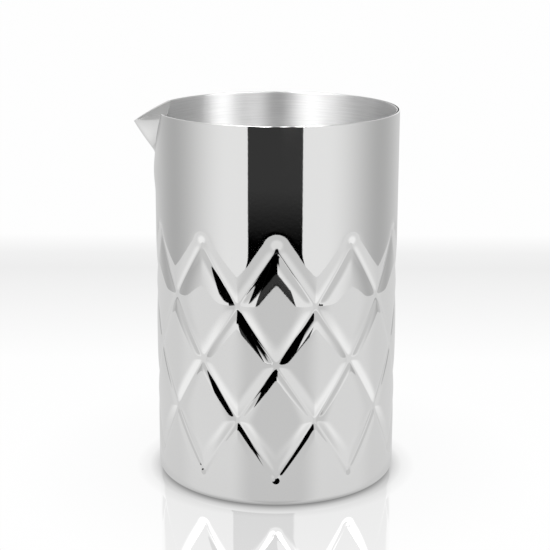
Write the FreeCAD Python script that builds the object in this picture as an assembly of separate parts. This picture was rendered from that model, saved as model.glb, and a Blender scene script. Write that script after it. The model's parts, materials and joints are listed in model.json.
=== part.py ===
import FreeCAD, Part
import math
import os

# A steel bar mixing vessel with a double wall, in millimetres.
# Outer wall, base cap, inner cup and folded spout are sheet. Welds join them at the rim,
# along the spout's creases and at the base.
# Frame: origin at the centre of the foot on the resting plane, +Z up, spout towards -X.
# The outer wall carries three rows of ten pressed diamonds.

Vector = FreeCAD.Vector

# Driving dimensions of the vessel
OUTER_RADIUS = 45.0
HEIGHT = 138.5
SHEET = 0.6
CORNER_RADIUS = 3.0
FOOT_INNER_RADIUS = 34.0
RECESS_RISE = 0.8

# Diamond lattice: creases run corner to corner between levels that are HALF_ROW apart
COLUMNS = 10
LATTICE_TOP = 95.5
HALF_ROW = 21.06
ROWS = 3
CREASE_DEPTH = 0.8
CROWN_PROUD = 0.15
BEND_TOP_ROW = 9.0
BEND_LOWER_ROWS = 6.5
BEND_ABOVE = 6.9
BEND_BELOW = 4.6
BEND_POWER = 3
CREASE_JOIN_POWER = 4
FIRST_COLUMN_ANGLE = -90.0

# Level from which the wall above the diamonds is plain
PLAIN_WALL_FROM = 104.0

# Soft swell of the wall under the spout
SWELL_HEIGHT = 0.5
SWELL_CENTRE_Z = 115.5
SWELL_HALF_RISE = 8.0
SWELL_HALF_ANGLE = 22.0
SWELL_TOP_Z = 123.5
SWELL_LOW_Z = 107.5

# Inner cup
LAP_LOW_Z = 119.0
NECK_LOW_Z = 103.0
NECK_IN = 3.2
CUP_FLOOR_Z = 9.0
CUP_CORNER_RADIUS = 10.0

# Pouring spout
SPOUT_HALF_ANGLE = 23.5
SPOUT_FOOT_Z = 122.5
SPOUT_FOOT_HALF_WIDTH = 5.9
SPOUT_REACH = 7.6
SPOUT_TIP_DROP = 5.0
SPOUT_TOP_SHARPNESS = 0.16
SPOUT_FOOT_SHARPNESS = 2.0
SPOUT_LIP_BOW = 0.85
SPOUT_KEEL_BOW = 0.3
SPOUT_KEEL_SET_IN = 0.6
SPOUT_FOLD_ONSET = 0.25
NOTCH_MARGIN = 5.0

# Base cap's dimple, its seal, its getter and its cover
DIMPLE_RADIUS = 7.0
DIMPLE_RISE = 1.6
EVACUATION_HOLE_RADIUS = 0.8
BASE_BEND_DEG = 45.0
BEAD_RADIUS = 2.6
BEAD_HEIGHT = 0.9
GETTER_RADIUS = 4.0
GETTER_HEIGHT = 2.0
GETTER_OFFSET = 20.0
GETTER_CHAMFER = 0.4
COVER_CLEARANCE = 0.1
COVER_THICKNESS = 0.4

# Sampling of the pressed surfaces
CELL_POINTS = 15
BAND_POINTS = 9

HALF_PITCH_DEG = 180.0 / COLUMNS
HALF_PITCH_ARC = OUTER_RADIUS * math.radians(HALF_PITCH_DEG)
PERPENDICULAR_PITCH = 2.0 / math.hypot(1.0 / HALF_PITCH_ARC, 1.0 / HALF_ROW)
LATTICE_BOTTOM_LEVEL = ROWS + 1


def sink(distance, width):
    """Relative depth of the sheet beside a crease: 1 on the crease, 0 beyond the bend's width."""
    return (1.0 - min(distance / width, 1.0)) ** BEND_POWER


def joined_sink(sinks):
    """Relative depth where several bends meet, each keeping its width up to the corner."""
    return min(sum(part ** CREASE_JOIN_POWER for part in sinks) ** (1.0 / CREASE_JOIN_POWER), 1.0)


def distance_to_crease(s, t, corner_a, corner_b):
    """Distance in the unrolled wall from lattice point (s, t) to the crease between two corners."""
    ax = corner_a[0] * HALF_PITCH_ARC
    ay = corner_a[1] * HALF_ROW
    dx = corner_b[0] * HALF_PITCH_ARC - ax
    dy = corner_b[1] * HALF_ROW - ay
    px = s * HALF_PITCH_ARC - ax
    py = t * HALF_ROW - ay
    along = max(0.0, min(1.0, (px * dx + py * dy) / (dx * dx + dy * dy)))
    return math.hypot(px - along * dx, py - along * dy)


def diamond_height(a, b, width):
    """Height in a diamond against the plain wall; a and b run from 0 to 1 between facing creases."""
    from_a = min(a, 1.0 - a) * PERPENDICULAR_PITCH
    from_b = min(b, 1.0 - b) * PERPENDICULAR_PITCH
    cushion = (1.0 - (2.0 * a - 1.0) ** 2) * (1.0 - (2.0 * b - 1.0) ** 2)
    return CROWN_PROUD * cushion - CREASE_DEPTH * joined_sink([sink(from_a, width), sink(from_b, width)])


def edge_sink(s, t, zigzag_level, direction, width):
    """Relative depth outside the lattice, near the zigzag crease that ends it.

    The zigzag's outer corners are at even s on zigzag_level, its inner corners at odd s one level inwards.
    """
    nearest = round(s / 2.0) * 2
    sinks = []
    for corner in (nearest - 2, nearest, nearest + 2):
        for side in (-1, 1):
            inner = (corner + side, zigzag_level + direction)
            sinks.append(sink(distance_to_crease(s, t, (corner, zigzag_level), inner), width))
    return joined_sink(sinks)


def swell(angle_deg, z):
    """Soft outward swell of the wall under the spout, which faces -X."""
    off_axis = abs(angle_deg % 360.0 - 180.0)
    across = min(off_axis / SWELL_HALF_ANGLE, 1.0)
    along = min(abs(z - SWELL_CENTRE_Z) / SWELL_HALF_RISE, 1.0)
    return SWELL_HEIGHT * (1.0 - across ** 2) ** 2 * (1.0 - along ** 2) ** 2


def wall_point(angle_deg, z, radius):
    angle = math.radians(angle_deg)
    return Vector(radius * math.cos(angle), radius * math.sin(angle), z)


def lattice_angle(s):
    return FIRST_COLUMN_ANGLE + s * HALF_PITCH_DEG


def lattice_z(t):
    return LATTICE_TOP - t * HALF_ROW


def steps(count):
    return [i / (count - 1) for i in range(count)]


def curve_through(points):
    """Cubic spline through points at evenly spaced parameters."""
    curve = Part.BSplineCurve()
    curve.interpolate(Points=points, Parameters=steps(len(points)))
    return curve


def surface_through(rows):
    """Cubic surface through a grid, evenly spaced both ways, so that neighbours share their borders."""
    row_curves = [curve_through(row) for row in rows]
    pole_columns = zip(*[curve.getPoles() for curve in row_curves])
    column_curves = [curve_through(list(column)) for column in pole_columns]
    along_row = row_curves[0]
    along_column = column_curves[0]
    surface = Part.BSplineSurface()
    surface.buildFromPolesMultsKnots(
        list(zip(*[curve.getPoles() for curve in column_curves])),
        along_column.getMultiplicities(),
        along_row.getMultiplicities(),
        along_column.getKnots(),
        along_row.getKnots(),
        False,
        False,
        along_column.Degree,
        along_row.Degree,
    )
    return surface


def diamond_face(first_s, top_level, inset):
    """One pressed diamond, whose top corner is at (first_s, top_level)."""
    p_start = (first_s + top_level) // 2
    q_start = (top_level - first_s) // 2
    width = BEND_TOP_ROW if top_level == 0 else BEND_LOWER_ROWS
    rows = []
    for a in steps(CELL_POINTS):
        row = []
        for b in steps(CELL_POINTS):
            p = p_start + a
            q = q_start + b
            radius = OUTER_RADIUS + diamond_height(a, b, width) - inset
            row.append(wall_point(lattice_angle(p - q), lattice_z(p + q), radius))
        rows.append(row)
    return surface_through(rows).toShape()


def transition_face(first_s, zigzag_level, direction, plain_z, width, inset):
    """Half-column strip between the zigzag crease and the plain wall at plain_z."""
    plain_level = (LATTICE_TOP - plain_z) / HALF_ROW
    rows = []
    for a in steps(BAND_POINTS):
        s = first_s + a
        inwards = abs(s - round(s / 2.0) * 2)
        crease_level = zigzag_level + direction * inwards
        row = []
        for b in steps(CELL_POINTS):
            t = crease_level + (plain_level - crease_level) * b
            depth = CREASE_DEPTH * edge_sink(s, t, zigzag_level, direction, width)
            radius = OUTER_RADIUS - depth - inset
            row.append(wall_point(lattice_angle(s), lattice_z(t), radius))
        rows.append(row)
    return surface_through(rows).toShape()


def swell_face(first_s, inset):
    """Half-column strip of the wall that may carry part of the swell."""
    rows = []
    for a in steps(BAND_POINTS):
        angle = lattice_angle(first_s + a)
        row = []
        for b in steps(CELL_POINTS):
            z = SWELL_TOP_Z + (SWELL_LOW_Z - SWELL_TOP_Z) * b
            row.append(wall_point(angle, z, OUTER_RADIUS + swell(angle, z) - inset))
        rows.append(row)
    return surface_through(rows).toShape()


def profile_point(radius, z):
    return Vector(radius, 0.0, z)


def line(start, end):
    return Part.LineSegment(profile_point(*start), profile_point(*end)).toShape()


def corner_arc(centre_r, centre_z, radius, from_deg, to_deg):
    """Arc of a wall's section, given by its centre and by angles from the +R direction."""
    points = []
    for angle_deg in (from_deg, (from_deg + to_deg) / 2.0, to_deg):
        angle = math.radians(angle_deg)
        r = centre_r + radius * math.cos(angle)
        z = centre_z + radius * math.sin(angle)
        points.append(profile_point(r, z))
    return Part.Arc(*points).toShape()


def plain_edges():
    """Section of the outer shell's plain parts: rim, plain walls and the lower edge on the base cap."""
    inner = OUTER_RADIUS - SHEET
    edges = [
        line((inner, HEIGHT), (OUTER_RADIUS, HEIGHT)),
        line((inner, CORNER_RADIUS), (OUTER_RADIUS, CORNER_RADIUS)),
    ]
    for radius in (OUTER_RADIUS, inner):
        edges.append(line((radius, HEIGHT), (radius, SWELL_TOP_Z)))
        edges.append(line((radius, SWELL_LOW_Z), (radius, PLAIN_WALL_FROM)))
    return edges


def revolved_strip(edge, first_s):
    turned = edge.copy()
    turned.rotate(Vector(0, 0, 0), Vector(0, 0, 1), lattice_angle(first_s))
    return turned.revolve(Vector(0, 0, 0), Vector(0, 0, 1), HALF_PITCH_DEG)


def notch_outline_point(run):
    """Point (y, z) on a leg of the spout's notch, from its foot (run 0) to the rim (run 1)."""
    rim_half_width = OUTER_RADIUS * math.sin(math.radians(SPOUT_HALF_ANGLE))
    y = SPOUT_FOOT_HALF_WIDTH + (rim_half_width - SPOUT_FOOT_HALF_WIDTH) * run
    z = SPOUT_FOOT_Z + (HEIGHT - SPOUT_FOOT_Z) * run
    return y, z


def spout_notch():
    """V-shaped prism along -X that clears the walls for the spout."""
    foot_y, foot_z = notch_outline_point(0.0)
    past_rim = 1.0 + NOTCH_MARGIN / (HEIGHT - SPOUT_FOOT_Z)
    top_y, top_z = notch_outline_point(past_rim)
    x = -(OUTER_RADIUS + NOTCH_MARGIN)
    corners = [(-foot_y, foot_z), (foot_y, foot_z), (top_y, top_z), (-top_y, top_z)]
    points = [Vector(x, y, z) for y, z in corners]
    points.append(points[0])
    face = Part.Face(Part.makePolygon(points))
    return face.extrude(Vector(OUTER_RADIUS / 2.0, 0, 0))


def outer_shell():
    faces = []
    plain = plain_edges()
    for s in range(2 * COLUMNS):
        for edge in plain:
            faces.append(revolved_strip(edge, s))
        for inset in (0.0, SHEET):
            faces.append(swell_face(s, inset))
            faces.append(transition_face(s, 0, 1, PLAIN_WALL_FROM, BEND_ABOVE, inset))
            faces.append(
                transition_face(s, LATTICE_BOTTOM_LEVEL, -1, CORNER_RADIUS, BEND_BELOW, inset)
            )
    for level in range(ROWS):
        for s in range(level % 2, 2 * COLUMNS, 2):
            for inset in (0.0, SHEET):
                faces.append(diamond_face(s, level, inset))
    return sewn_solid(faces).removeSplitter().cut(spout_notch())


def sewn_solid(faces):
    """Closed solid from faces that share their edges."""
    shell = Part.Compound(faces)
    shell.sewShape(1e-3)
    solid = Part.Solid(shell.Shells[0])
    solid.fix(1e-4, 1e-4, 1e-3)
    if solid.Volume < 0:
        solid.reverse()
    return solid


def revolved_solid(edges):
    face = Part.Face(Part.Wire(Part.__sortEdges__(edges)))
    return face.revolve(Vector(0, 0, 0), Vector(0, 0, 1), 360.0)


def neck_curve(radius):
    """S-shaped neck of the cup's wall, level with the wall at both ends."""
    middle = (LAP_LOW_Z + NECK_LOW_Z) / 2.0
    poles = [
        profile_point(radius, LAP_LOW_Z),
        profile_point(radius, middle),
        profile_point(radius - NECK_IN, middle),
        profile_point(radius - NECK_IN, NECK_LOW_Z),
    ]
    curve = Part.BezierCurve()
    curve.setPoles(poles)
    return curve.toShape()


def cup_skin(radius, floor_z, corner_radius):
    """Section of one skin of the cup, from the rim down to the axis."""
    lower = radius - NECK_IN
    corner_z = floor_z + corner_radius
    return [
        line((radius, HEIGHT), (radius, LAP_LOW_Z)),
        neck_curve(radius),
        line((lower, NECK_LOW_Z), (lower, corner_z)),
        corner_arc(lower - corner_radius, corner_z, corner_radius, 0.0, -90.0),
        line((lower - corner_radius, floor_z), (0.0, floor_z)),
    ]


def inner_cup():
    outer = OUTER_RADIUS - SHEET
    inner = outer - SHEET
    edges = cup_skin(outer, CUP_FLOOR_Z - SHEET, CUP_CORNER_RADIUS + SHEET)
    edges += cup_skin(inner, CUP_FLOOR_Z, CUP_CORNER_RADIUS)
    edges.append(line((inner, HEIGHT), (outer, HEIGHT)))
    edges.append(line((0.0, CUP_FLOOR_Z - SHEET), (0.0, CUP_FLOOR_Z)))
    return revolved_solid(edges).cut(spout_notch())


def fold(v, sharpness):
    """Rounded V: 0 at the keel, 1 at either crease."""
    return (math.sqrt(v * v + sharpness ** 2) - sharpness) / (math.sqrt(1.0 + sharpness ** 2) - sharpness)


def spout_point(run, v, wall_radius, keel_shift):
    """Point on a skin of the spout, from foot to lip (run) and from crease to crease (v)."""
    leg_y, leg_z = notch_outline_point(run)
    leg_x = -math.sqrt(wall_radius ** 2 - leg_y ** 2)
    bow = SPOUT_KEEL_BOW * 4.0 * run * (1.0 - run)
    keel_x = -(wall_radius + SPOUT_REACH * run + bow) + keel_shift[0] * run
    keel_z = SPOUT_FOOT_Z + (HEIGHT - SPOUT_TIP_DROP - SPOUT_FOOT_Z + keel_shift[1]) * run
    onset = run ** SPOUT_FOLD_ONSET
    sharpness = SPOUT_FOOT_SHARPNESS + (SPOUT_TOP_SHARPNESS - SPOUT_FOOT_SHARPNESS) * onset
    across = fold(v, sharpness)
    up = across ** (1.0 + (SPOUT_LIP_BOW - 1.0) * run)
    return Vector(
        keel_x + (leg_x - keel_x) * across,
        leg_y * v,
        keel_z + (leg_z - keel_z) * up,
    )


def spout_skin(wall_radius, keel_shift):
    points = []
    for run in steps(BAND_POINTS):
        row = [spout_point(run, 2.0 * b - 1.0, wall_radius, keel_shift) for b in steps(4 * BAND_POINTS + 1)]
        points.append(row)
    return surface_through(points)


def pouring_spout():
    """Folded sheet as thick as both walls, between its outer and its inner skin."""
    thickness = 2.0 * SHEET
    skins = [
        spout_skin(OUTER_RADIUS, (0.0, 0.0)),
        spout_skin(OUTER_RADIUS - thickness, (0.0, SPOUT_KEEL_SET_IN)),
    ]
    borders = []
    for skin in skins:
        u0, u1, v0, v1 = skin.bounds()
        borders.append([skin.uIso(u0), skin.uIso(u1), skin.vIso(v0), skin.vIso(v1)])
    faces = [skin.toShape() for skin in skins]
    for outer_curve, inner_curve in zip(*borders):
        faces.append(Part.makeRuledSurface(outer_curve.toShape(), inner_curve.toShape()))
    return sewn_solid(faces)


def chain(points):
    """Straight edges from each point of a section to the next."""
    return [line(start, end) for start, end in zip(points, points[1:])]


def cap_skin(thickness):
    """Section of one skin of the base cap inside the corner: the outer skin has no thickness added."""
    corner_r = OUTER_RADIUS - CORNER_RADIUS
    bend_shift = thickness * math.tan(math.radians(BASE_BEND_DEG / 2.0))
    recess_z = RECESS_RISE + thickness
    return [
        (corner_r, thickness),
        (FOOT_INNER_RADIUS + bend_shift, thickness),
        (FOOT_INNER_RADIUS - RECESS_RISE + bend_shift, recess_z),
        (DIMPLE_RADIUS + bend_shift, recess_z),
        (DIMPLE_RADIUS - DIMPLE_RISE + bend_shift, recess_z + DIMPLE_RISE),
        (EVACUATION_HOLE_RADIUS, recess_z + DIMPLE_RISE),
    ]


def base_cap():
    """Pressed cap that closes the double wall: rounded corner, foot ring, recess and evacuation dimple."""
    corner_r = OUTER_RADIUS - CORNER_RADIUS
    under = cap_skin(0.0)
    above = cap_skin(SHEET)
    edges = chain(under) + chain(above)
    edges.append(line(under[-1], above[-1]))
    edges.append(corner_arc(corner_r, CORNER_RADIUS, CORNER_RADIUS, 0.0, -90.0))
    edges.append(corner_arc(corner_r, CORNER_RADIUS, CORNER_RADIUS - SHEET, 0.0, -90.0))
    edges.append(line((OUTER_RADIUS - SHEET, CORNER_RADIUS), (OUTER_RADIUS, CORNER_RADIUS)))
    return revolved_solid(edges)


def vacuum_seal_bead():
    """Drop of solder on the dimple's underside, with a plug in the evacuation hole."""
    top = RECESS_RISE + DIMPLE_RISE
    dome_radius = (BEAD_RADIUS ** 2 + BEAD_HEIGHT ** 2) / (2.0 * BEAD_HEIGHT)
    dome = Part.makeSphere(dome_radius, Vector(0, 0, top - BEAD_HEIGHT + dome_radius))
    reach = 2.0 * dome_radius
    below = Part.makeBox(2 * reach, 2 * reach, reach, Vector(-reach, -reach, top - reach))
    plug = Part.makeCylinder(EVACUATION_HOLE_RADIUS, SHEET, Vector(0, 0, top))
    return dome.common(below).fuse(plug).removeSplitter()


def getter_pellet():
    seat_z = RECESS_RISE + SHEET
    pellet = Part.makeCylinder(GETTER_RADIUS, GETTER_HEIGHT, Vector(GETTER_OFFSET, 0, seat_z))
    rim = [edge for edge in pellet.Edges if edge.BoundBox.ZMin > seat_z + GETTER_HEIGHT / 2.0]
    return pellet.makeChamfer(GETTER_CHAMFER, rim)


def base_cover():
    radius = FOOT_INNER_RADIUS - RECESS_RISE - COVER_CLEARANCE
    return Part.makeCylinder(radius, COVER_THICKNESS, Vector(0, 0, RECESS_RISE - COVER_THICKNESS))


PIECES = {
    "outer_shell": outer_shell,
    "inner_cup": inner_cup,
    "pouring_spout": pouring_spout,
    "base_cap": base_cap,
    "getter_pellet": getter_pellet,
    "vacuum_seal_bead": vacuum_seal_bead,
    "base_cover": base_cover,
}


def main():
    os.makedirs("parts", exist_ok=True)
    for name, build_piece in PIECES.items():
        solid = build_piece().Solids[0]
        print(name, "valid", solid.isValid(), "volume", round(solid.Volume, 1))
        solid.exportStep(os.path.join("parts", name + ".step"))


main()
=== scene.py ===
import json
import math

import bmesh
import bpy
import numpy as np
from mathutils import Matrix, Vector, noise


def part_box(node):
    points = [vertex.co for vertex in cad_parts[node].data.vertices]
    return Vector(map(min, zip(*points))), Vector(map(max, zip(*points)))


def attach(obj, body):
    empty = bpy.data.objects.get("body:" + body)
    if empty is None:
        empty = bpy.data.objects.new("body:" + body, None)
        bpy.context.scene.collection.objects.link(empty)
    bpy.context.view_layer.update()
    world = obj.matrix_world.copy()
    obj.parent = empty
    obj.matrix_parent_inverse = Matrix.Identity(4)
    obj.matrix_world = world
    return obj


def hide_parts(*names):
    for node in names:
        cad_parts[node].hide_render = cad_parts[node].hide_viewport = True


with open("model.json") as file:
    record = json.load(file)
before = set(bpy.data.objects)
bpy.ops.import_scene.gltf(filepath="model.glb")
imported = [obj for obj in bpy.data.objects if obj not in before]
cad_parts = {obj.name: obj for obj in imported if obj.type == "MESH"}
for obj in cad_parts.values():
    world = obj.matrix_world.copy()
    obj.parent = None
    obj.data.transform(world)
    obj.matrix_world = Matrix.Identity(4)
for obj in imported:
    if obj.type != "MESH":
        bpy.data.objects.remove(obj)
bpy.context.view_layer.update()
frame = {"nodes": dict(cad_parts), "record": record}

# Everything is in metres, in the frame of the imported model: +Z up, foot on z = 0, spout towards -X.

MM = 0.001

# ---------------------------------------------------------------- sizes, read from the frame
MOUNTS = {mount["name"]: mount for mount in frame["record"]["mounts"]}
MOUTH_RADIUS = MOUNTS["mouth"]["dims"]["r_mm"] * MM
CUP_LOW, CUP_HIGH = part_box("inner_cup")
SHELL_LOW, SHELL_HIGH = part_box("outer_shell")
SPOUT_LOW, SPOUT_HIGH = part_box("pouring_spout")
COVER_LOW, COVER_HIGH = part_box("base_cover")

SHEET = CUP_HIGH.y - MOUTH_RADIUS
OUTER_RADIUS = CUP_HIGH.y + SHEET
HEIGHT = SHELL_HIGH.z
SPOUT_FOOT_Z = SPOUT_LOW.z
SPOUT_RIM_HALF_WIDTH = SPOUT_HIGH.y
SPOUT_REACH = -SPOUT_LOW.x - OUTER_RADIUS
CORNER_RADIUS = SHELL_LOW.z

# ---------------------------------------------------------------- sizes that the boxes don't show
# The pressed lattice. A column of diamonds faces the camera, which looks along +Y.
FRONT_COLUMN_DEG = -90.0
LATTICE_COLUMNS = 10
LATTICE_ROWS = 3
LATTICE_TOP = 95.5 * MM
HALF_ROW = 21.06 * MM
CREASE_DEPTH = 0.8 * MM
CROWN_PROUD = 0.147 * MM
BEND_TOP_ROW = 9.0 * MM
BEND_LOWER_ROWS = 6.5 * MM
BEND_ABOVE = 6.9 * MM
BEND_BELOW = 4.6 * MM
BEND_POWER = 3
CREASE_JOIN_POWER = 4
CREASE_ROUNDING = 0.5 * MM
PLAIN_WALL_FROM = 104.0 * MM

# The swell of the wall under the spout.
SWELL_HEIGHT = 0.5 * MM
SWELL_CENTRE_Z = 115.5 * MM
SWELL_HALF_RISE = 8.0 * MM
SWELL_HALF_ANGLE = 22.0

# The cup's neck, which clears the pressed diamonds.
NECK_TOP_Z = 119.0 * MM
NECK_LOW_Z = 103.0 * MM
NECK_IN = 3.2 * MM
CUP_CORNER_RADIUS = 10.0 * MM

# The spout, folded more sharply towards the lip. Its grids 1 and 3, the trough side and the cut face of the
# lip, are satin.
SPOUT_FOOT_HALF_WIDTH = 5.9 * MM
SPOUT_TIP_DROP = 5.0 * MM
KEEL_BOW = 0.3 * MM
LIP_BULGE = 0.30 * MM
FOLD_ROUNDING_AT_FOOT = 2.0
FOLD_ROUNDING_AT_LIP = 0.16
FOLD_POWER = 0.25
SPOUT_LINED_GRIDS = (1, 3)
RIM_ROUNDING = 0.22 * MM
RIM_STEPS_DEG = [30.0, 60.0, 90.0]

# Painted shade along the pinched crease of the wall beside the spout, where shade falls: how wide and how
# dark it is.
PAINTED_SHADE_WIDTH = 2.4 * MM
PAINTED_SHADE_WIDTH_SHARE_AT_ENDS = 0.25
PAINTED_SHADE_FADES_OUT_AT = 1.5
PAINTED_SHADE_TONE = 0.70

# The underside.
FOOT_RING_INNER_RADIUS = 34.0 * MM
SLOPE_DEG = 45.0
DIMPLE_RADIUS = 7.0 * MM
DIMPLE_RISE = 1.6 * MM
EVACUATION_HOLE_RADIUS = 0.8 * MM
COVER_ROUNDING = 0.12 * MM

# ---------------------------------------------------------------- mesh density
EDGE_CELLS = 36
EDGE_CROWDING = 0.55
BAND_CELLS = 30
BAND_CROWDING = 1.3
NOTCH_CELLS = EDGE_CELLS // 2
WALL_ROWS = 22
SPOUT_ROWS = 28
SPOUT_COLUMNS = 80
NECK_ROWS = 20
CUP_WALL_ROWS = 11
CUP_CORNER_ROWS = 14
CAP_CORNER_ROWS = 20
CAP_RING_ROWS = 7
COVER_ROWS = 13
COVER_EDGE_ROWS = 4
TURNED_COLUMNS = 384
MERGE_DISTANCE = 0.002 * MM
SHORTEST_EDGE = 0.001 * MM

# ---------------------------------------------------------------- unevenness left by pressing and polishing
POLISH_DEPTH = 0.005 * MM
POLISH_WAVES = 170.0
POLISH_RIPPLES = 520.0
RIPPLE_SHARE = 0.3

# ---------------------------------------------------------------- worked out from the sizes
HALF_PITCH_DEG = 180.0 / LATTICE_COLUMNS
HALF_PITCH_ARC = OUTER_RADIUS * math.radians(HALF_PITCH_DEG)
PERPENDICULAR_PITCH = 2.0 / math.hypot(1.0 / HALF_PITCH_ARC, 1.0 / HALF_ROW)
FIRST_S = -LATTICE_COLUMNS // 2
LAST_S = FIRST_S + 2 * LATTICE_COLUMNS


# ---------------------------------------------------------------- mesh helpers
def spaced(cells):
    """Parameters 0 to 1 that crowd towards both ends."""
    even = np.linspace(0.0, 1.0, cells + 1)
    crowded = 0.5 - 0.5 * np.cos(math.pi * even)
    return even + EDGE_CROWDING * (crowded - even)


def on_cylinder(angle_deg, z, radius):
    """Points at an angle round the axis, a height and a radius, each a number or an array."""
    angle = np.radians(angle_deg)
    x, y, z = np.broadcast_arrays(radius * np.cos(angle), radius * np.sin(angle), z)
    return np.stack([x, y, z], axis=-1)


def mesh_piece(name, grids, sharp_deg):
    """One closed smooth-shaded mesh from point grids that meet along their borders.

    Edges that turn by sharp_deg or more stay sharp. The face attribute "grid" keeps each face's grid number.
    """
    mesh = bpy.data.meshes.new(name)
    points, faces, start = [], [], 0
    for grid in grids:
        rows, columns = grid.shape[:2]
        points.append(grid.reshape(-1, 3))
        index = start + np.arange(rows * columns).reshape(rows, columns)
        corners = [index[:-1, :-1], index[1:, :-1], index[1:, 1:], index[:-1, 1:]]
        faces.append(np.stack([corner.ravel() for corner in corners], axis=1))
        start += rows * columns
    mesh.from_pydata(np.concatenate(points).tolist(), [], np.concatenate(faces).tolist())
    grid_of_face = np.repeat(np.arange(len(faces)), [len(part) for part in faces])
    mesh.attributes.new("grid", "INT", "FACE").data.foreach_set("value", grid_of_face)
    work = bmesh.new()
    work.from_mesh(mesh)
    bmesh.ops.remove_doubles(work, verts=work.verts, dist=MERGE_DISTANCE)
    bmesh.ops.dissolve_degenerate(work, edges=work.edges, dist=SHORTEST_EDGE)
    bmesh.ops.recalc_face_normals(work, faces=work.faces)
    for face in work.faces:
        face.smooth = True
    for edge in work.edges:
        edge.smooth = edge.calc_face_angle(math.pi) < math.radians(sharp_deg)
    open_edges = sum(1 for edge in work.edges if len(edge.link_faces) != 2)
    print(name, "vertices", len(work.verts), "open edges", open_edges)
    work.to_mesh(mesh)
    work.free()
    piece = bpy.data.objects.new(name, mesh)
    bpy.context.scene.collection.objects.link(piece)
    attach(piece, "root")
    return piece


def strips(pairs):
    """For each pair of lines of points, a grid of one row of faces between them."""
    return [np.stack([first, second]) for first, second in pairs]


def revolved_grid(profile):
    """Grid of a section, given as (radius, z) pairs, turned once round the axis."""
    angles = np.linspace(-180.0, 180.0, TURNED_COLUMNS + 1)
    profile = np.array(profile)
    return on_cylinder(angles[None, :], profile[:, 1:2], profile[:, 0:1])


def arc_points(centre_r, centre_z, radius, from_deg, to_deg, cells):
    """(radius, z) pairs along an arc of a section."""
    angles = np.radians(np.linspace(from_deg, to_deg, cells + 1))
    return np.stack([centre_r + radius * np.cos(angles), centre_z + radius * np.sin(angles)], axis=1)


# ---------------------------------------------------------------- the pressed wall
# Places on the lattice are (s, t): half pitches round the wall from the front column, and half rows down from
# the top corners. The creases cross where s + t is even.
def lattice_angle(s):
    return FRONT_COLUMN_DEG + s * HALF_PITCH_DEG


def lattice_z(t):
    return LATTICE_TOP - t * HALF_ROW


def sink(distance, width):
    """Relative depth of the sheet beside a crease: 1 on it, 0 beyond the bend, with a rounded root."""
    rounded = np.hypot(distance, CREASE_ROUNDING) - CREASE_ROUNDING
    full = math.hypot(width, CREASE_ROUNDING) - CREASE_ROUNDING
    return (1.0 - np.minimum(rounded / full, 1.0)) ** BEND_POWER


def joined_sink(sinks):
    """Relative depth where several bends meet, each keeping its width up to the corner."""
    total = sum(part ** CREASE_JOIN_POWER for part in sinks)
    return np.minimum(total ** (1.0 / CREASE_JOIN_POWER), 1.0)


def distance_to_crease(s, t, corner_a, corner_b):
    """Distance along the wall from (s, t) to the crease between two lattice corners."""
    ax, ay = corner_a[0] * HALF_PITCH_ARC, corner_a[1] * HALF_ROW
    dx, dy = corner_b[0] * HALF_PITCH_ARC - ax, corner_b[1] * HALF_ROW - ay
    px, py = s * HALF_PITCH_ARC - ax, t * HALF_ROW - ay
    along = np.clip((px * dx + py * dy) / (dx * dx + dy * dy), 0.0, 1.0)
    return np.hypot(px - along * dx, py - along * dy)


def edge_sink(s, t, level, direction, width):
    """Relative depth outside the lattice, near the zigzag crease that ends it."""
    first = 2 * int(round(float(np.mean(s)) / 2.0))
    sinks = []
    for corner in (first - 2, first, first + 2):
        for side in (-1, 1):
            inner = (corner + side, level + direction)
            sinks.append(sink(distance_to_crease(s, t, (corner, level), inner), width))
    return joined_sink(sinks)


def hand_polish(points):
    """Slight unevenness that pressing and polishing leave in the wall, fading out below the rim."""
    flat = points.reshape(-1, 3)
    shift = np.empty(len(flat))
    for i, place in enumerate(flat.tolist()):
        place = Vector(place)
        shift[i] = noise.noise(place * POLISH_WAVES) + RIPPLE_SHARE * noise.noise(place * POLISH_RIPPLES)
    shift = shift.reshape(points.shape[:-1]) * POLISH_DEPTH
    shift *= np.clip((PLAIN_WALL_FROM - points[..., 2]) / BEND_ABOVE, 0.0, 1.0)
    shift *= np.clip((points[..., 2] - CORNER_RADIUS) / BEND_BELOW, 0.0, 1.0)
    radius = np.hypot(points[..., 0], points[..., 1])
    moved = points.copy()
    moved[..., :2] *= (1.0 + shift / radius)[..., None]
    return moved


def diamond_grid(first_s, level, inset):
    """One pressed diamond, whose top corner is at (first_s, level)."""
    a = spaced(EDGE_CELLS)[:, None]
    b = spaced(EDGE_CELLS)[None, :]
    p = (first_s + level) // 2 + a
    q = (level - first_s) // 2 + b
    width = BEND_TOP_ROW if level == 0 else BEND_LOWER_ROWS
    from_a = np.minimum(a, 1.0 - a) * PERPENDICULAR_PITCH
    from_b = np.minimum(b, 1.0 - b) * PERPENDICULAR_PITCH
    cushion = (1.0 - (2.0 * a - 1.0) ** 2) * (1.0 - (2.0 * b - 1.0) ** 2)
    sunk = joined_sink([sink(from_a, width), sink(from_b, width)])
    radius = OUTER_RADIUS + CROWN_PROUD * cushion - CREASE_DEPTH * sunk - inset
    return hand_polish(on_cylinder(lattice_angle(p - q), lattice_z(p + q), radius))


def transition_grid(first_s, level, direction, plain_z, width, inset):
    """Half-column strip between the zigzag crease and the plain wall."""
    plain_level = (LATTICE_TOP - plain_z) / HALF_ROW
    s = first_s + spaced(EDGE_CELLS)[:, None]
    even_corner = first_s if first_s % 2 == 0 else first_s + 1
    crease_level = level + direction * np.abs(s - even_corner)
    down = np.linspace(0.0, 1.0, BAND_CELLS + 1)[None, :] ** BAND_CROWDING
    t = crease_level + (plain_level - crease_level) * down
    radius = OUTER_RADIUS - CREASE_DEPTH * edge_sink(s, t, level, direction, width) - inset
    return hand_polish(on_cylinder(lattice_angle(s), lattice_z(t), radius))


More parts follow.
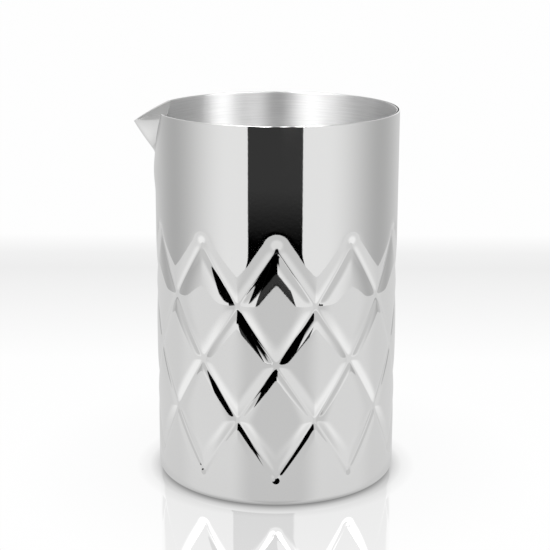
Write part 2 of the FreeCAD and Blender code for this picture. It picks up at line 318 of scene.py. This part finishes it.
def swell(angle_deg, z):
    """Soft outward swell of the wall under the spout, which faces -X."""
    off_axis = 180.0 - np.abs(angle_deg)
    across = np.minimum(off_axis / SWELL_HALF_ANGLE, 1.0)
    along = np.minimum(np.abs(z - SWELL_CENTRE_Z) / SWELL_HALF_RISE, 1.0)
    return SWELL_HEIGHT * (1.0 - across ** 2) ** 2 * (1.0 - along ** 2) ** 2


# ---------------------------------------------------------------- the notch for the spout
def leg_half_width(z):
    """Half the notch's width at a height."""
    run = (z - SPOUT_FOOT_Z) / (HEIGHT - SPOUT_FOOT_Z)
    return SPOUT_FOOT_HALF_WIDTH + (SPOUT_RIM_HALF_WIDTH - SPOUT_FOOT_HALF_WIDTH) * run


def even_columns():
    """Angles of the wall's columns, from -180 to 180 degrees, with a crease corner at every half pitch."""
    cells = spaced(EDGE_CELLS)[:-1]
    s = np.concatenate([k + cells for k in range(FIRST_S, LAST_S)] + [[LAST_S]])
    return lattice_angle(s)


def notched_columns(z, radius):
    """The same columns, drawn apart or together so that column NOTCH_CELLS runs along the notch's leg."""
    even = even_columns()
    from_spout = 180.0 - np.abs(even)
    leg_deg = math.degrees(math.asin(leg_half_width(max(z, SPOUT_FOOT_Z)) / radius))
    base_deg = from_spout[NOTCH_CELLS]
    inside = from_spout * leg_deg / base_deg
    outside = leg_deg + (from_spout - base_deg) * (180.0 - leg_deg) / (180.0 - base_deg)
    moved = np.where(from_spout <= base_deg, inside, outside)
    return np.copysign(180.0 - moved, even)


def wall_line(z, radius, share=1.0):
    """Angles of one row; share runs from even columns (0) to notched columns (1)."""
    return (1.0 - share) * even_columns() + share * notched_columns(z, radius)


def notched_tube(radius, profile, low_z, low_share):
    """Grids of a tube wall from low_z up to the rim, with the V notch left open.

    profile lists (inset from radius, z) pairs above the notch's foot.
    Returns the grids, the notch's legs, the halves of its foot, the tube's lowest line and its rim.
    """
    rows = []
    low_levels = np.linspace(low_z, SPOUT_FOOT_Z, WALL_ROWS + 1)
    for z in low_levels:
        run = (z - low_z) / (SPOUT_FOOT_Z - low_z)
        share = low_share + (1.0 - low_share) * run * run * (3.0 - 2.0 * run)
        angle = wall_line(z, radius, share)
        rows.append(on_cylinder(angle, z, radius + swell(angle, z)))
    low = np.stack(rows)
    rows = [low[-1]]
    for inset, z in profile:
        angle = wall_line(z, radius)
        rows.append(on_cylinder(angle, z, radius - inset + swell(angle, z)))
    high = np.stack(rows)
    first, last = NOTCH_CELLS, high.shape[1] - NOTCH_CELLS
    opened = high[:, first:last]
    foot_lines = [low[-1][: first + 1], low[-1][last - 1:]]
    return [low, opened], [opened[:, 0], opened[:, -1]], foot_lines, low[0], opened[-1]


def rim_profile(lean):
    """Levels above the notch's foot, (inset, z), to a rounded rim that leans in (lean 1) or out (lean -1)."""
    levels = [(0.0, z) for z in np.linspace(SPOUT_FOOT_Z, HEIGHT - RIM_ROUNDING, SPOUT_ROWS + 1)[1:]]
    for angle in np.radians(RIM_STEPS_DEG):
        inset = lean * RIM_ROUNDING * (1.0 - math.cos(angle))
        levels.append((inset, HEIGHT - RIM_ROUNDING * (1.0 - math.sin(angle))))
    return levels


def notch_pairs(legs, feet):
    """Pairs of matching lines of two skins along the notch, from the skins' legs and feet."""
    return list(zip(*legs)) + list(zip(*feet))


# ---------------------------------------------------------------- pieces
def outer_shell():
    """The mirror wall: an outer and an inner skin, joined at the rim, at the bottom and along the notch."""
    grids, legs, feet, rims, bottoms = [], [], [], [], []
    for inset in (0.0, SHEET):
        radius = OUTER_RADIUS - inset
        tube, leg, foot, _, rim = notched_tube(radius, rim_profile(1), PLAIN_WALL_FROM, 0.0)
        grids += tube
        legs.append(leg)
        feet.append(foot)
        rims.append(rim)
        bottom = []
        for s in range(FIRST_S, LAST_S):
            grids.append(transition_grid(s, 0, 1, PLAIN_WALL_FROM, BEND_ABOVE, inset))
            grids.append(transition_grid(s, LATTICE_ROWS + 1, -1, CORNER_RADIUS, BEND_BELOW, inset))
            bottom.append(grids[-1][:, -1])
        for level in range(LATTICE_ROWS):
            start = FIRST_S + (FIRST_S + level) % 2
            for s in range(start, start + 2 * LATTICE_COLUMNS, 2):
                grids.append(diamond_grid(s, level, inset))
        bottoms.append(np.concatenate(bottom))
    grids += strips([rims, bottoms] + notch_pairs(legs, feet))
    return mesh_piece("outer_wall", grids, sharp_deg=9.0)


def paint_crease_shade(wall):
    """Tone of the wall as a colour attribute of painted shade: darker along the pinched crease beside the
    spout, where shade falls.
    """
    tones = wall.data.color_attributes.new("painted_crease_shade", "FLOAT_COLOR", "POINT")
    for vertex, tone in zip(wall.data.vertices, tones.data):
        x, y, z = vertex.co
        shade = 0.0
        # Painted shade, strongest next to the crease and fading away from it.
        if x < 0.0 and SPOUT_FOOT_Z < z < HEIGHT:
            run = (z - SPOUT_FOOT_Z) / (HEIGHT - SPOUT_FOOT_Z)
            middle = (1.0 - PAINTED_SHADE_WIDTH_SHARE_AT_ENDS) * math.sin(math.pi * run)
            width = PAINTED_SHADE_WIDTH * (PAINTED_SHADE_WIDTH_SHARE_AT_ENDS + middle)
            shade = max(0.0, min(1.0, PAINTED_SHADE_FADES_OUT_AT - (abs(y) - leg_half_width(z)) / width))
        level = 1.0 - (1.0 - PAINTED_SHADE_TONE) * shade
        tone.color = (level, level, level, 1.0)


def neck_points(radius):
    """S-shaped neck, a cubic curve that is in line with the wall at both ends."""
    b = np.linspace(0.0, 1.0, NECK_ROWS + 1)[1:]
    middle = (NECK_TOP_Z + NECK_LOW_Z) / 2.0
    r = radius - NECK_IN * (3.0 * b ** 2 * (1.0 - b) + b ** 3)
    z = NECK_TOP_Z * (1 - b) ** 3 + 3 * middle * b * (1 - b) ** 2
    z = z + 3 * middle * b ** 2 * (1 - b) + NECK_LOW_Z * b ** 3
    return np.stack([r, z], axis=1)


def inner_cup():
    """The brushed cup: an outer and an inner skin, joined at the rim and along the notch."""
    floor_z = CUP_LOW.z + SHEET
    grids, legs, feet, rims = [], [], [], []
    for radius, floor, corner in (
        (MOUTH_RADIUS + SHEET, floor_z - SHEET, CUP_CORNER_RADIUS + SHEET),
        (MOUTH_RADIUS, floor_z, CUP_CORNER_RADIUS),
    ):
        tube, leg, foot, low_line, rim = notched_tube(radius, rim_profile(-1), NECK_TOP_Z, 1.0)
        grids += tube
        legs.append(leg)
        feet.append(foot)
        rims.append(rim)
        lower = radius - NECK_IN
        below = np.concatenate([
            neck_points(radius),
            [[lower, z] for z in np.linspace(NECK_LOW_Z, floor + corner, CUP_WALL_ROWS + 1)[1:]],
            arc_points(lower - corner, floor + corner, corner, 0.0, -90.0, CUP_CORNER_ROWS)[1:],
            [[r, floor] for r in np.linspace(lower - corner, 0.0, CUP_WALL_ROWS + 1)[1:]],
        ])
        angles = np.degrees(np.arctan2(low_line[:, 1], low_line[:, 0]))
        angles[0] = -180.0
        angles[-1] = 180.0
        rest = on_cylinder(angles[None, :], below[:, 1:2], below[:, 0:1])
        grids.append(np.concatenate([low_line[None], rest]))
    grids += strips([rims] + notch_pairs(legs, feet))
    return mesh_piece("cup_lining", grids, sharp_deg=30.0)


def fold(v, rounding):
    """Rounded V: 0 at the keel, 1 at either crease."""
    return (np.sqrt(v * v + rounding ** 2) - rounding) / (np.sqrt(1.0 + rounding ** 2) - rounding)


def spout_skin(radius, keel_shift_z):
    """Points of one skin of the spout, from foot to lip and from crease to crease."""
    levels = [z for inset, z in rim_profile(1) if inset == 0.0]
    runs = (np.array(levels) - SPOUT_FOOT_Z) / (HEIGHT - SPOUT_FOOT_Z)
    run = np.concatenate([[0.0], runs, [1.0]])[:, None]
    v = np.linspace(-1.0, 1.0, SPOUT_COLUMNS + 1)[None, :]
    leg_z = SPOUT_FOOT_Z + (HEIGHT - SPOUT_FOOT_Z) * run
    leg_y = leg_half_width(leg_z)
    leg_x = -np.sqrt(radius ** 2 - leg_y ** 2)
    keel_x = -(radius + SPOUT_REACH * run + 4.0 * KEEL_BOW * run * (1.0 - run))
    keel_z = SPOUT_FOOT_Z + (HEIGHT - SPOUT_TIP_DROP - SPOUT_FOOT_Z + keel_shift_z) * run
    rounding = FOLD_ROUNDING_AT_FOOT + (FOLD_ROUNDING_AT_LIP - FOLD_ROUNDING_AT_FOOT) * run ** FOLD_POWER
    across = fold(v, rounding)
    x = keel_x + (leg_x - keel_x) * across
    y = leg_y * v
    z = keel_z + (leg_z - keel_z) * across + LIP_BULGE * run * np.sin(math.pi * across)
    return np.stack(np.broadcast_arrays(x, y, z), axis=-1)


def pouring_spout():
    """The folded spout, as thick as the two sheets it is set into."""
    thickness = 2.0 * SHEET
    outer = spout_skin(OUTER_RADIUS, 0.0)
    inner = spout_skin(OUTER_RADIUS - thickness, thickness * 0.5)
    foot_and_lip = [(outer[row], inner[row]) for row in (0, -1)]
    creases = [(outer[:, column], inner[:, column]) for column in (0, -1)]
    return mesh_piece("folded_spout", [outer, inner] + strips(foot_and_lip + creases), sharp_deg=40.0)


def line_spout(spout, lining):
    """The trough side and the lip's cut face of the spout are satin, like the cup's lining."""
    spout.data.materials.append(lining)
    grid_of_face = spout.data.attributes["grid"].data
    for face in spout.data.polygons:
        if grid_of_face[face.index].value in SPOUT_LINED_GRIDS:
            face.material_index = 1


def base_cap():
    """The cap: rounded corner, foot ring, slope up to the recess, and the dimple with the evacuation hole."""
    corner_r = OUTER_RADIUS - CORNER_RADIUS
    recess = COVER_HIGH.z
    ring_r = FOOT_RING_INNER_RADIUS
    skins = []
    for thickness in (0.0, SHEET):
        shift = thickness * math.tan(math.radians(SLOPE_DEG / 2.0))
        corner = arc_points(
            corner_r, CORNER_RADIUS, CORNER_RADIUS - thickness, 0.0, -90.0, CAP_CORNER_ROWS
        )
        skin = [tuple(point) for point in corner]
        skin += [(r, thickness) for r in np.linspace(corner_r, ring_r + shift, CAP_RING_ROWS + 1)[1:]]
        skin += [
            (ring_r - recess + shift, recess + thickness),
            (DIMPLE_RADIUS + shift, recess + thickness),
            (DIMPLE_RADIUS - DIMPLE_RISE + shift, recess + thickness + DIMPLE_RISE),
            (EVACUATION_HOLE_RADIUS, recess + thickness + DIMPLE_RISE),
        ]
        skins.append(skin)
    loop = skins[0] + skins[1][::-1] + [skins[0][0]]
    return mesh_piece("base_pressing", [revolved_grid(loop)], sharp_deg=30.0)


def base_cover():
    """The disc in the recess, with a rounded lower edge."""
    low, high, radius = COVER_LOW.z, COVER_HIGH.z, COVER_HIGH.x
    flat_r = radius - COVER_ROUNDING
    edge = arc_points(flat_r, low + COVER_ROUNDING, COVER_ROUNDING, -90.0, 0.0, COVER_EDGE_ROWS)
    section = [(r, low) for r in np.linspace(0.0, flat_r, COVER_ROWS + 1)]
    section += [tuple(point) for point in edge[1:]]
    section += [(radius, high), (0.0, high)]
    return mesh_piece("base_plate", [revolved_grid(section)], sharp_deg=40.0)


# ---------------------------------------------------------------- materials
BUMP_DEPTH = 0.1 * MM
LINE_DEPTH = 0.04 * MM


def new_material(name):
    material = bpy.data.materials.new(name)
    material.use_nodes = True
    material.node_tree.nodes.clear()
    return material, material.node_tree


def add(tree, kind, inputs=None, **settings):
    """A shader node, with its inputs set to values or linked to sockets."""
    made = tree.nodes.new(kind)
    for key, value in settings.items():
        setattr(made, key, value)
    for key, value in (inputs or {}).items():
        socket = made.inputs[key]
        if isinstance(value, bpy.types.NodeSocket):
            tree.links.new(value, socket)
        else:
            socket.default_value = value
    return made


def maths(tree, operation, *values):
    """The result of one operation on numbers or sockets."""
    return add(tree, "ShaderNodeMath", dict(enumerate(values)), operation=operation).outputs[0]


def off_axis(tree, x, y):
    """Distance from the vessel's axis."""
    squares = [maths(tree, "MULTIPLY", value, value) for value in (x, y)]
    return maths(tree, "SQRT", maths(tree, "ADD", *squares))


def ramp(tree, value, stops):
    """A tone that runs straight from stop to stop; the stops are (value, tone)."""
    low, high = stops[0][0], stops[-1][0]
    share = add(tree, "ShaderNodeMapRange", {"Value": value, "From Min": low, "From Max": high}).outputs[0]
    made = add(tree, "ShaderNodeValToRGB", {0: share})
    elements = made.color_ramp.elements
    while len(elements) < len(stops):
        elements.new(0.5)
    for element, (place, tone) in zip(elements, stops):
        element.position = (place - low) / (high - low)
        element.color = (tone, tone, tone, 1.0)
    return made.outputs[0]


def polished_steel(name, tone=0.86, roughness=0.035, painted_crease_shade=False):
    """Steel with a slight haze and fine polishing marks; its flag darkens it by the painted crease shade held
    in a colour attribute.
    """
    material, tree = new_material(name)
    place = add(tree, "ShaderNodeTexCoord").outputs["Object"]
    haze = add(tree, "ShaderNodeTexNoise", {"Vector": place, "Scale": 55.0, "Detail": 3.0}).outputs["Fac"]
    rough = add(tree, "ShaderNodeMapRange", {
        "Value": haze, "To Min": roughness * 0.6, "To Max": roughness * 1.5,
    })
    marks = add(tree, "ShaderNodeTexNoise", {"Vector": place, "Scale": 900.0, "Detail": 2.0}).outputs["Fac"]
    bump = add(tree, "ShaderNodeBump", {"Height": marks, "Strength": 0.02, "Distance": BUMP_DEPTH})
    colour = add(tree, "ShaderNodeRGB").outputs[0]
    colour.default_value = (tone, tone, tone * 0.995, 1.0)
    # Painted shade: the colour attribute darkens the steel along the crease beside the spout.
    if painted_crease_shade:
        level = add(tree, "ShaderNodeVertexColor", layer_name="painted_crease_shade").outputs["Color"]
        scaled = add(tree, "ShaderNodeVectorMath", {0: colour, 1: level}, operation="MULTIPLY")
        colour = scaled.outputs[0]
    shade = add(tree, "ShaderNodeBsdfPrincipled", {
        "Base Color": colour,
        "Metallic": 1.0,
        "Roughness": rough.outputs[0],
        "Normal": bump.outputs[0],
    })
    add(tree, "ShaderNodeOutputMaterial", {"Surface": shade.outputs[0]})
    return material


def turned_steel(name, tone, roughness, lines_per_mm, anisotropy=0.75, around=True):
    """Steel with fine lines round the axis, stacked along Z (around) or along the radius."""
    material, tree = new_material(name)
    place = add(tree, "ShaderNodeTexCoord").outputs["Object"]
    split = add(tree, "ShaderNodeSeparateXYZ", {"Vector": place})
    x, y, z = split.outputs
    radius = off_axis(tree, x, y)
    turn = maths(tree, "ARCTAN2", y, x)
    across = z if around else radius
    lines_at = add(tree, "ShaderNodeCombineXYZ", {
        "X": maths(tree, "MULTIPLY", turn, 2.2),
        "Y": maths(tree, "MULTIPLY", across, lines_per_mm / MM),
        "Z": maths(tree, "MULTIPLY", radius, 20.0),
    }).outputs[0]
    lines = add(tree, "ShaderNodeTexNoise", {
        "Vector": lines_at, "Scale": 1.0, "Detail": 4.0, "Roughness": 0.7,
    }).outputs["Fac"]
    broad_at = add(tree, "ShaderNodeCombineXYZ", {
        "X": maths(tree, "MULTIPLY", turn, 3.0),
        "Y": maths(tree, "MULTIPLY", across, 0.25 * lines_per_mm / MM),
        "Z": 0.0,
    }).outputs[0]
    broad = add(tree, "ShaderNodeTexNoise", {"Vector": broad_at, "Scale": 1.0, "Detail": 2.0})
    rough = add(tree, "ShaderNodeMapRange", {
        "Value": lines, "To Min": roughness * 0.75, "To Max": roughness * 1.3,
    })
    colour = add(tree, "ShaderNodeMapRange", {
        "Value": broad.outputs["Fac"],
        "From Min": 0.3,
        "From Max": 0.7,
        "To Min": tone * 0.93,
        "To Max": tone * 1.05,
    })
    bump = add(tree, "ShaderNodeBump", {"Height": lines, "Strength": 0.18, "Distance": LINE_DEPTH})
    tangent = add(tree, "ShaderNodeTangent", direction_type="RADIAL", axis="Z")
    shade = add(tree, "ShaderNodeBsdfPrincipled", {
        "Base Color": colour.outputs[0],
        "Metallic": 1.0,
        "Roughness": rough.outputs[0],
        "Anisotropic": anisotropy,
        "Anisotropic Rotation": 0.25,
        "Tangent": tangent.outputs[0],
        "Normal": bump.outputs[0],
    })
    add(tree, "ShaderNodeOutputMaterial", {"Surface": shade.outputs[0]})
    return material


def dull_metal(name, tone, roughness):
    """Grainy metal of the hidden parts."""
    material, tree = new_material(name)
    place = add(tree, "ShaderNodeTexCoord").outputs["Object"]
    grain = add(tree, "ShaderNodeTexNoise", {"Vector": place, "Scale": 1500.0, "Detail": 4.0}).outputs["Fac"]
    colour = add(tree, "ShaderNodeMapRange", {"Value": grain, "To Min": tone * 0.8, "To Max": tone * 1.2})
    bump = add(tree, "ShaderNodeBump", {"Height": grain, "Strength": 0.4, "Distance": BUMP_DEPTH})
    shade = add(tree, "ShaderNodeBsdfPrincipled", {
        "Base Color": colour.outputs[0],
        "Metallic": 1.0,
        "Roughness": roughness,
        "Normal": bump.outputs[0],
    })
    add(tree, "ShaderNodeOutputMaterial", {"Surface": shade.outputs[0]})
    return material


def dress(piece, material, slot, *nodes):
    """Give a piece its material, and hide the CAD nodes that it replaces. The slot argument is not used."""
    piece.data.materials.clear()
    piece.data.materials.append(material)
    if nodes:
        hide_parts(*nodes)


# ---------------------------------------------------------------- studio
# Directions are azimuth and elevation in degrees, seen from the vessel; azimuth 0 points at the camera and
# grows towards +X. Aside is the azimuth without its sign. The low surroundings run from a front tone through
# a side tone to a back tone, with a sky above them.
FRONT_TONE = 0.87
SIDE_TONE = 0.46
BACK_TONE = 0.64
SKY_TONE = 0.62
FRONT_ENDS_DEG = 45.0
SIDE_AT_DEG = 112.0
BACK_FROM_DEG = 160.0
SKY_FROM_DEG = -5.0
SKY_SOFTNESS_DEG = 3.0

# Black cards round the camera: (from azimuth, to azimuth, from elevation, to elevation, softness). The lowest
# one has a faint sheen along its top.
LOW_CARD_RIGHT_DEG = 23.8
CARDS = [
    (-26.7, LOW_CARD_RIGHT_DEG, -90.0, -8.2, 0.5),
    (-26.7, 5.0, -9.2, 30.0, 1.0),
    (-42.0, -26.0, -7.6, 30.0, 1.0),
    (4.0, 17.5, -2.5, 30.0, 2.0),
]
CARD_SHEEN = 0.040
CARD_SHEEN_FROM_DEG = -12.4
CARD_SHEEN_FROM_SOFTNESS_DEG = 2.0
CARD_SHEEN_TO_DEG = -8.1
CARD_SHEEN_TO_SOFTNESS_DEG = 0.8

# Soft lights above the vessel: (azimuth, half width, strength).
OVERHEAD_LIGHTS = [
    (70.0, 26.0, 1.0),
    (-37.0, 26.0, 0.9),
    (-72.0, 44.0, 0.45),
    (24.0, 20.0, 0.45),
]
OVERHEAD_FROM_DEG = 33.0
OVERHEAD_SOFTNESS_DEG = 14.0
OVERHEAD_STRENGTH = 11.5
OVERHEAD_REST = 0.05

# The pale backdrop behind the vessel, by the azimuth without its sign.
BACKDROP_TONE = 0.99
BACKDROP_FROM_DEG = 140.0
BACKDROP_FULL_DEG = 150.0

# The table as the wall mirrors it: darker at the foot, far away and where it is seen steeply, a little darker
# in front and at the sides, and ending beyond a rounded front edge.
TABLE_REACH = 0.41
TABLE_EDGE_BOW_DEG = 60.0
NEAR_TABLE_TONE = 0.98
FOOT_TABLE_TONE = 0.80
FOOT_TABLE_ENDS = (0.030, 0.060)
FAR_TABLE_TONE = 0.76
FAR_TABLE_DEG = (-31.0, -22.0)
STEEP_TABLE_TONE = 0.72
STEEP_TABLE_DEG = (-62.0, -44.0)
FRONT_TABLE_SHADE = 0.82
FRONT_TABLE_DEG = (22.0, 46.0)
SIDE_TABLE_SHADE = 0.92
SIDE_TABLE_DEG = (84.0, 110.0)
# Shadow in the mirrored table: (distance from the foot ring, tone).
MIRRORED_SHADOW = [(0.0, 0.42), (0.003, 0.86), (0.010, 0.98), (0.040, 1.0)]

# The floor as the camera sees it: (distance behind the axis, tone) and (distance from the foot ring, tone).
FLOOR_HALF_SIZE = 6.0
FLOOR_GAP = 0.02 * MM
FLOOR_SHINE = 0.28
FLOOR_ROUGHNESS = 0.03
FLOOR_DEPTH_TONES = [(0.0, 1.0), (0.13, 0.99), (0.303, 0.80), (0.34, 0.84), (0.39, 0.99), (0.5, 0.99)]
CONTACT_SHADOW = [(0.0, 0.16), (0.0012, 0.25), (0.004, 0.60), (0.007, 0.84), (0.012, 0.96), (0.060, 1.0)]


def soft_step(tree, value, edge, softness):
    """0 below the edge, 1 above it, with a straight change between."""
    return add(tree, "ShaderNodeMapRange", {
        "Value": value, "From Min": edge - softness / 2.0, "From Max": edge + softness / 2.0,
    }).outputs[0]


def smooth_mix(tree, value, start, end, first, second):
    """first below start, second above end, with an S-shaped change between."""
    share = add(tree, "ShaderNodeMapRange", {"Value": value, "From Min": start, "From Max": end},
                interpolation_type="SMOOTHSTEP").outputs[0]
    return mixed_tone(tree, share, first, second)


def card_light(tree, azimuth, elevation, card):
    """Share of the studio's light that a card lets through in a direction."""
    left, right, bottom, top, softness = card
    inside = soft_step(tree, azimuth, left, softness)
    for value, edge in ((azimuth, right), (elevation, top)):
        beyond = soft_step(tree, value, edge, softness)
        inside = maths(tree, "MULTIPLY", inside, maths(tree, "SUBTRACT", 1.0, beyond))
    inside = maths(tree, "MULTIPLY", inside, soft_step(tree, elevation, bottom, softness))
    return maths(tree, "SUBTRACT", 1.0, inside)


def mixed_tone(tree, share, first, second):
    """first where share is 0, second where it is 1; each a number or a socket."""
    kept = maths(tree, "MULTIPLY", maths(tree, "SUBTRACT", 1.0, share), first)
    return maths(tree, "ADD", kept, maths(tree, "MULTIPLY", share, second))


def studio_tone(tree, direction):
    """Brightness of the studio in a direction, with the azimuth and elevation in degrees."""
    split = add(tree, "ShaderNodeSeparateXYZ", {"Vector": direction})
    x, y, z = split.outputs
    degree = 180.0 / math.pi
    turn = maths(tree, "ARCTAN2", x, maths(tree, "MULTIPLY", y, -1.0))
    azimuth = maths(tree, "MULTIPLY", turn, degree)
    elevation = maths(tree, "MULTIPLY", maths(tree, "ARCSINE", z), degree)
    aside = maths(tree, "ABSOLUTE", azimuth)
    low = smooth_mix(tree, aside, FRONT_ENDS_DEG, SIDE_AT_DEG, FRONT_TONE, SIDE_TONE)
    low = smooth_mix(tree, aside, SIDE_AT_DEG, BACK_FROM_DEG, low, BACK_TONE)
    sky = smooth_mix(tree, aside, BACKDROP_FROM_DEG, BACKDROP_FULL_DEG, SKY_TONE, BACKDROP_TONE)
    tone = mixed_tone(tree, soft_step(tree, elevation, SKY_FROM_DEG, SKY_SOFTNESS_DEG), low, sky)
    for card in CARDS:
        tone = maths(tree, "MULTIPLY", tone, card_light(tree, azimuth, elevation, card))
    above_start = soft_step(tree, elevation, CARD_SHEEN_FROM_DEG, CARD_SHEEN_FROM_SOFTNESS_DEG)
    above_end = soft_step(tree, elevation, CARD_SHEEN_TO_DEG, CARD_SHEEN_TO_SOFTNESS_DEG)
    sheen = maths(tree, "MULTIPLY", maths(tree, "SUBTRACT", above_start, above_end), CARD_SHEEN)
    tone = maths(tree, "MAXIMUM", tone, sheen)
    return tone, azimuth, elevation


def studio_world():
    """The surroundings: plain white for the camera, the studio and its lights for all other rays."""
    world = bpy.data.worlds.new("studio")
    world.use_nodes = True
    tree = world.node_tree
    tree.nodes.clear()
    direction = add(tree, "ShaderNodeTexCoord").outputs["Generated"]
    tone, azimuth, elevation = studio_tone(tree, direction)
    aside = maths(tree, "ABSOLUTE", azimuth)
    upper = OVERHEAD_REST
    for place, half_width, strength in OVERHEAD_LIGHTS:
        off = maths(tree, "ABSOLUTE", maths(tree, "SUBTRACT", azimuth, place))
        upper = maths(tree, "ADD", upper, smooth_mix(tree, off, 0.0, half_width, strength, 0.0))
    upper = maths(tree, "MULTIPLY", upper, OVERHEAD_STRENGTH)
    high = soft_step(tree, elevation, OVERHEAD_FROM_DEG, OVERHEAD_SOFTNESS_DEG)
    before_backdrop = smooth_mix(tree, aside, BACKDROP_FROM_DEG, BACKDROP_FULL_DEG, 1.0, 0.0)
    tone = mixed_tone(tree, maths(tree, "MULTIPLY", high, before_backdrop), tone, upper)
    seen = add(tree, "ShaderNodeBackground", {"Color": (0.99, 0.99, 0.99, 1.0), "Strength": 1.0})
    mirrored = add(tree, "ShaderNodeBackground", {"Color": (1.0, 1.0, 1.0, 1.0), "Strength": tone})
    by_camera = add(tree, "ShaderNodeLightPath").outputs["Is Camera Ray"]
    mixed = add(tree, "ShaderNodeMixShader", {0: by_camera, 1: mirrored.outputs[0], 2: seen.outputs[0]})
    add(tree, "ShaderNodeOutputWorld", {"Surface": mixed.outputs[0]})
    bpy.context.scene.world = world


def floor():
    """The floor: a pale, slightly glossy one for the camera, and the studio's table for all other rays."""
    mesh = bpy.data.meshes.new("floor")
    half = FLOOR_HALF_SIZE
    corners = [(-half, -half, 0), (half, -half, 0), (half, half, 0), (-half, half, 0)]
    mesh.from_pydata(corners, [], [(0, 1, 2, 3)])
    ground = bpy.data.objects.new("floor", mesh)
    ground.location.z = -FLOOR_GAP
    bpy.context.scene.collection.objects.link(ground)
    material, tree = new_material("pale_floor")
    geometry = add(tree, "ShaderNodeNewGeometry")
    split = add(tree, "ShaderNodeSeparateXYZ", {"Vector": geometry.outputs["Position"]})
    x, y, _ = split.outputs
    distance = off_axis(tree, x, y)
    from_foot = maths(tree, "SUBTRACT", distance, OUTER_RADIUS - CORNER_RADIUS)
    seen = add(tree, "ShaderNodeEmission", {
        "Color": ramp(tree, y, FLOOR_DEPTH_TONES),
        "Strength": ramp(tree, from_foot, CONTACT_SHADOW),
    })
    away = add(tree, "ShaderNodeVectorMath", {0: geometry.outputs["Incoming"]}, operation="SCALE")
    away.inputs["Scale"].default_value = -1.0
    beyond, azimuth, elevation = studio_tone(tree, away.outputs[0])
    aside = maths(tree, "ABSOLUTE", azimuth)
    near = smooth_mix(tree, from_foot, *FOOT_TABLE_ENDS, FOOT_TABLE_TONE, NEAR_TABLE_TONE)
    table = smooth_mix(tree, elevation, *FAR_TABLE_DEG, near, FAR_TABLE_TONE)
    table = smooth_mix(tree, elevation, *STEEP_TABLE_DEG, STEEP_TABLE_TONE, table)
    front_shade = smooth_mix(tree, aside, *FRONT_TABLE_DEG, FRONT_TABLE_SHADE, 1.0)
    side_shade = smooth_mix(tree, aside, *SIDE_TABLE_DEG, 1.0, SIDE_TABLE_SHADE)
    table = maths(tree, "MULTIPLY", maths(tree, "MULTIPLY", table, front_shade), side_shade)
    bow = maths(tree, "DIVIDE", maths(tree, "MINIMUM", aside, LOW_CARD_RIGHT_DEG), TABLE_EDGE_BOW_DEG)
    bowed = maths(tree, "MULTIPLY", distance, maths(tree, "ADD", 1.0, maths(tree, "MULTIPLY", bow, bow)))
    tone = mixed_tone(tree, maths(tree, "GREATER_THAN", bowed, TABLE_REACH), table, beyond)
    shadowed = maths(tree, "MULTIPLY", tone, ramp(tree, from_foot, MIRRORED_SHADOW))
    mirrored = add(tree, "ShaderNodeEmission", {"Color": (1.0, 1.0, 1.0, 1.0), "Strength": shadowed})
    gloss = add(tree, "ShaderNodeBsdfGlossy", {"Color": (1.0, 1.0, 1.0, 1.0), "Roughness": FLOOR_ROUGHNESS})
    shiny = add(tree, "ShaderNodeMixShader", {0: FLOOR_SHINE, 1: seen.outputs[0], 2: gloss.outputs[0]})
    by_camera = add(tree, "ShaderNodeLightPath").outputs["Is Camera Ray"]
    mixed = add(tree, "ShaderNodeMixShader", {0: by_camera, 1: mirrored.outputs[0], 2: shiny.outputs[0]})
    add(tree, "ShaderNodeOutputMaterial", {"Surface": mixed.outputs[0]})
    mesh.materials.append(material)


# ---------------------------------------------------------------- camera
CAMERA_PLACE = (-0.57 * MM, -541.6 * MM, 216.7 * MM)
CAMERA_DOWN_DEG = 14.66
CAMERA_ROLL_DEG = 0.19
SENSOR_WIDTH_MM = 36.0
LENS_MM = 97.0
CAMERA_SEES_TO = 50.0


def camera():
    data = bpy.data.cameras.new("camera")
    data.sensor_width = SENSOR_WIDTH_MM
    data.lens = LENS_MM
    data.clip_end = CAMERA_SEES_TO
    eye = bpy.data.objects.new("camera", data)
    pitch = Matrix.Rotation(math.radians(90.0 - CAMERA_DOWN_DEG), 4, "X")
    roll = Matrix.Rotation(math.radians(CAMERA_ROLL_DEG), 4, "Z")
    eye.matrix_world = Matrix.Translation(CAMERA_PLACE) @ pitch @ roll
    bpy.context.scene.collection.objects.link(eye)
    bpy.context.scene.camera = eye


def main():
    mirror = polished_steel("polished_steel")
    brushed = turned_steel("turned_lining", tone=0.74, roughness=0.42, lines_per_mm=9.0, anisotropy=0.95)
    plate = turned_steel("turned_plate", tone=0.70, roughness=0.32, lines_per_mm=6.0, around=False)
    wall = outer_shell()
    # Painted shade along the crease beside the spout, carried into the wall's material.
    paint_crease_shade(wall)
    dress(wall, polished_steel("polished_wall", painted_crease_shade=True), "polished_steel", "outer_shell")
    dress(base_cap(), mirror, "polished_steel", "base_cap")
    dress(inner_cup(), brushed, "brushed_steel", "inner_cup")
    spout = pouring_spout()
    dress(spout, polished_steel("spout_steel", roughness=0.08), "spout_steel", "pouring_spout")
    line_spout(spout, polished_steel("spout_lining", tone=0.52, roughness=0.34))
    dress(base_cover(), plate, "base_steel", "base_cover")
    getter = dull_metal("getter_metal", tone=0.25, roughness=0.7)
    solder = dull_metal("seal_solder", tone=0.5, roughness=0.4)
    dress(frame["nodes"]["getter_pellet"], getter, "getter_metal")
    dress(frame["nodes"]["vacuum_seal_bead"], solder, "seal_solder")
    studio_world()
    floor()
    camera()
    bpy.context.scene.view_settings.view_transform = "Standard"


main()
